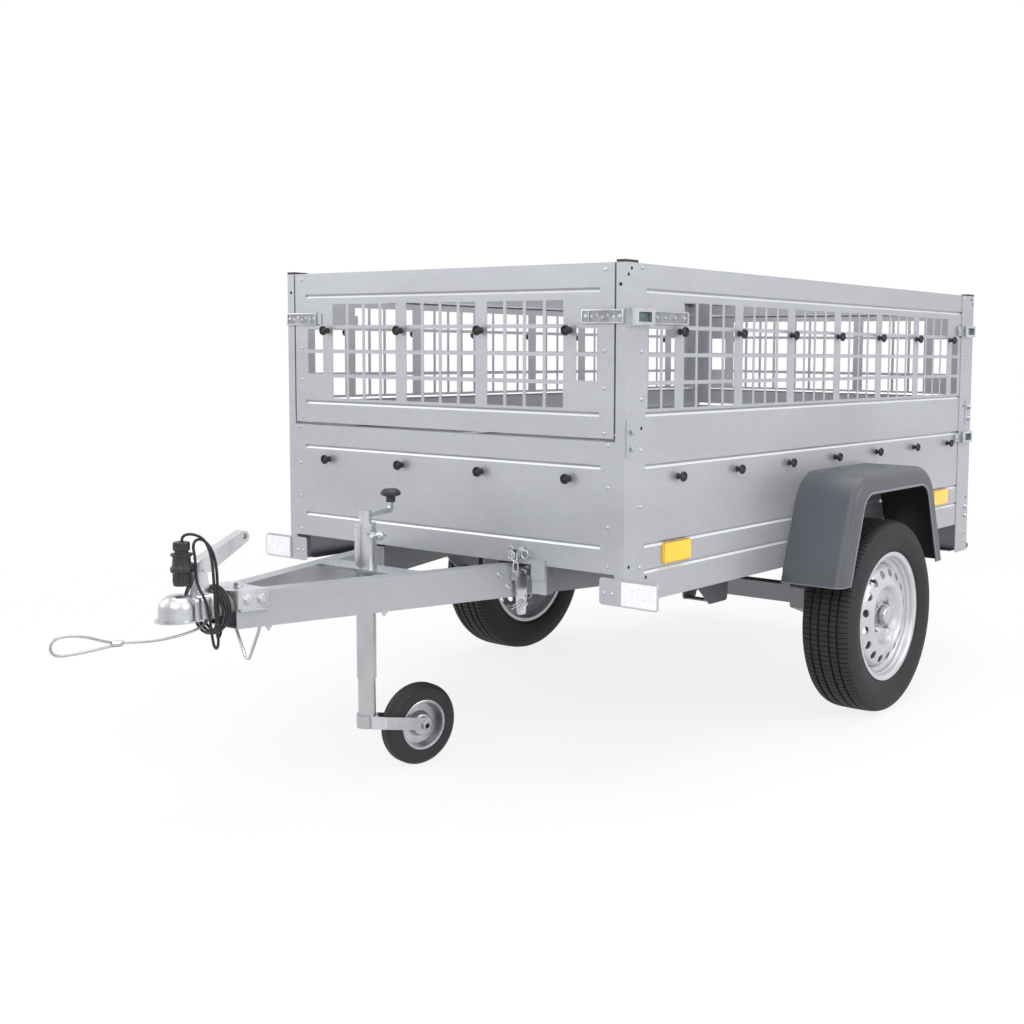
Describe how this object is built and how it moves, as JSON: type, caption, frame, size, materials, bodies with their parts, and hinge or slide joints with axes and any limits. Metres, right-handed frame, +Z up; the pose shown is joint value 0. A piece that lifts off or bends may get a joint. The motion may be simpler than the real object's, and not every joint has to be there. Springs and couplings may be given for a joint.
{
  "type": "box trailer",
  "caption": "Galvanised single axle box trailer with mesh raised sides, hinged front and rear gates, tilting V drawbar, ball coupling and jockey wheel.",
  "frame": {"origin": "middle of the trailer's footprint, at ground level", "axes": "+X to the trailer's left, +Y to the rear, +Z up"},
  "size_m": [1.504, 3.0594, 1.218],
  "materials": {
    "ply": "dark brown film-faced plywood",
    "galvanised": "satin hot-dip galvanised",
    "black_plastic": "black moulded plastic",
    "zinc_plate": "bright zinc plate",
    "guard_plastic": "black moulded plastic, lightly grained",
    "lamp_red": "red lamp lens",
    "amber": "clear amber reflector",
    "white_reflector": "clear white reflector",
    "tyre": "black rubber",
    "wheel_silver": "silver paint",
    "dark_steel": "dark machined steel",
    "cable": "black cable sheath",
    "rope": "clear coated wire rope",
    "wheel_rubber": "black rubber"
  },
  "bodies": {
    "chassis": {"load_floor": "ply", "cross_members": "galvanised", "side_panel_left": "galvanised", "side_panel_right": "galvanised", "side_mesh_left": "galvanised", "side_mesh_right": "galvanised", "front_panel": "galvanised", "front_post_left": "galvanised", "front_post_right": "galvanised", "rear_post_left": "galvanised", "rear_post_right": "galvanised", "post_caps": "black_plastic", "corner_latches": "zinc_plate", "mudguard_left": "guard_plastic", "mudguard_right": "guard_plastic", "axle_beam": "galvanised", "swing_arms": "galvanised", "hinge_brackets": "galvanised", "latch_catch": "galvanised", "lamp_bar": "galvanised", "rear_lamps": "lamp_red", "side_reflectors": "amber", "reflector_brackets": "galvanised", "front_reflectors": "white_reflector", "rear_buffers": "black_plastic"},
    "wheel_left": {"tyre_left": "tyre", "rim_left": "wheel_silver", "hub_left": "dark_steel"},
    "wheel_right": {"tyre_right": "tyre", "rim_right": "wheel_silver", "hub_right": "dark_steel"},
    "front_gate": {"front_mesh_gate": "galvanised"},
    "rear_gate": {"rear_mesh_gate": "galvanised"},
    "tailgate": {"tailgate": "galvanised"},
    "drawbar": {"drawbar_arm_left": "galvanised", "drawbar_arm_right": "galvanised", "pivot_bushes": "dark_steel", "jockey_mount": "zinc_plate", "coupling_head": "zinc_plate", "coupling_lever": "zinc_plate", "tilt_latch": "zinc_plate", "cable_stay": "zinc_plate", "cable_gland": "black_plastic", "jockey_outer_tube": "zinc_plate", "jockey_crank": "zinc_plate", "crank_knob": "black_plastic", "lighting_plug": "black_plastic", "plug_cable": "cable", "cable_coil": "cable", "tail_cable": "cable", "rope_lead": "rope", "rope_ferrule": "zinc_plate", "rope_loop": "rope"},
    "jockey_stem": {"jockey_inner_tube": "zinc_plate"},
    "jockey_fork": {"jockey_fork": "zinc_plate"},
    "jockey_wheel": {"jockey_rim": "wheel_silver", "jockey_tyre": "wheel_rubber"}
  },
  "joints": [
    {"name": "wheel_left_spin", "type": "hinge", "parent": "chassis", "child": "wheel_left", "pos_m": [0.668, 0.4455, 0.2735], "axis": [1, 0, 0], "continuous": true},
    {"name": "wheel_right_spin", "type": "hinge", "parent": "chassis", "child": "wheel_right", "pos_m": [-0.668, 0.4455, 0.2735], "axis": [1, 0, 0], "continuous": true},
    {"name": "drawbar_tilt", "type": "hinge", "parent": "chassis", "child": "drawbar", "pos_m": [0, -0.0245, 0.464], "axis": [1, 0, 0], "range_deg": [0, 30]},
    {"name": "jockey_slide", "type": "slide", "parent": "drawbar", "child": "jockey_stem", "axis": [0, 0, 1], "range_m": [-0.12, 0.083]},
    {"name": "jockey_swivel", "type": "hinge", "parent": "jockey_stem", "child": "jockey_fork", "pos_m": [0, -0.8545, 0.13], "axis": [0, 0, 1], "continuous": true},
    {"name": "jockey_wheel_spin", "type": "hinge", "parent": "jockey_fork", "child": "jockey_wheel", "pos_m": [0.02535, -0.71072, 0.1], "axis": [0.9848, -0.1736, 0], "continuous": true},
    {"name": "front_gate_hinge", "type": "hinge", "parent": "chassis", "child": "front_gate", "pos_m": [0, -0.5985, 0.825], "axis": [1, 0, 0], "range_deg": [0, 110]},
    {"name": "rear_gate_hinge", "type": "hinge", "parent": "chassis", "child": "rear_gate", "pos_m": [0, 1.3895, 0.825], "axis": [-1, 0, 0], "range_deg": [0, 120]},
    {"name": "tailgate_hinge", "type": "hinge", "parent": "chassis", "child": "tailgate", "pos_m": [0, 1.3895, 0.5245], "axis": [-1, 0, 0], "range_deg": [0, 165]}
  ]
}
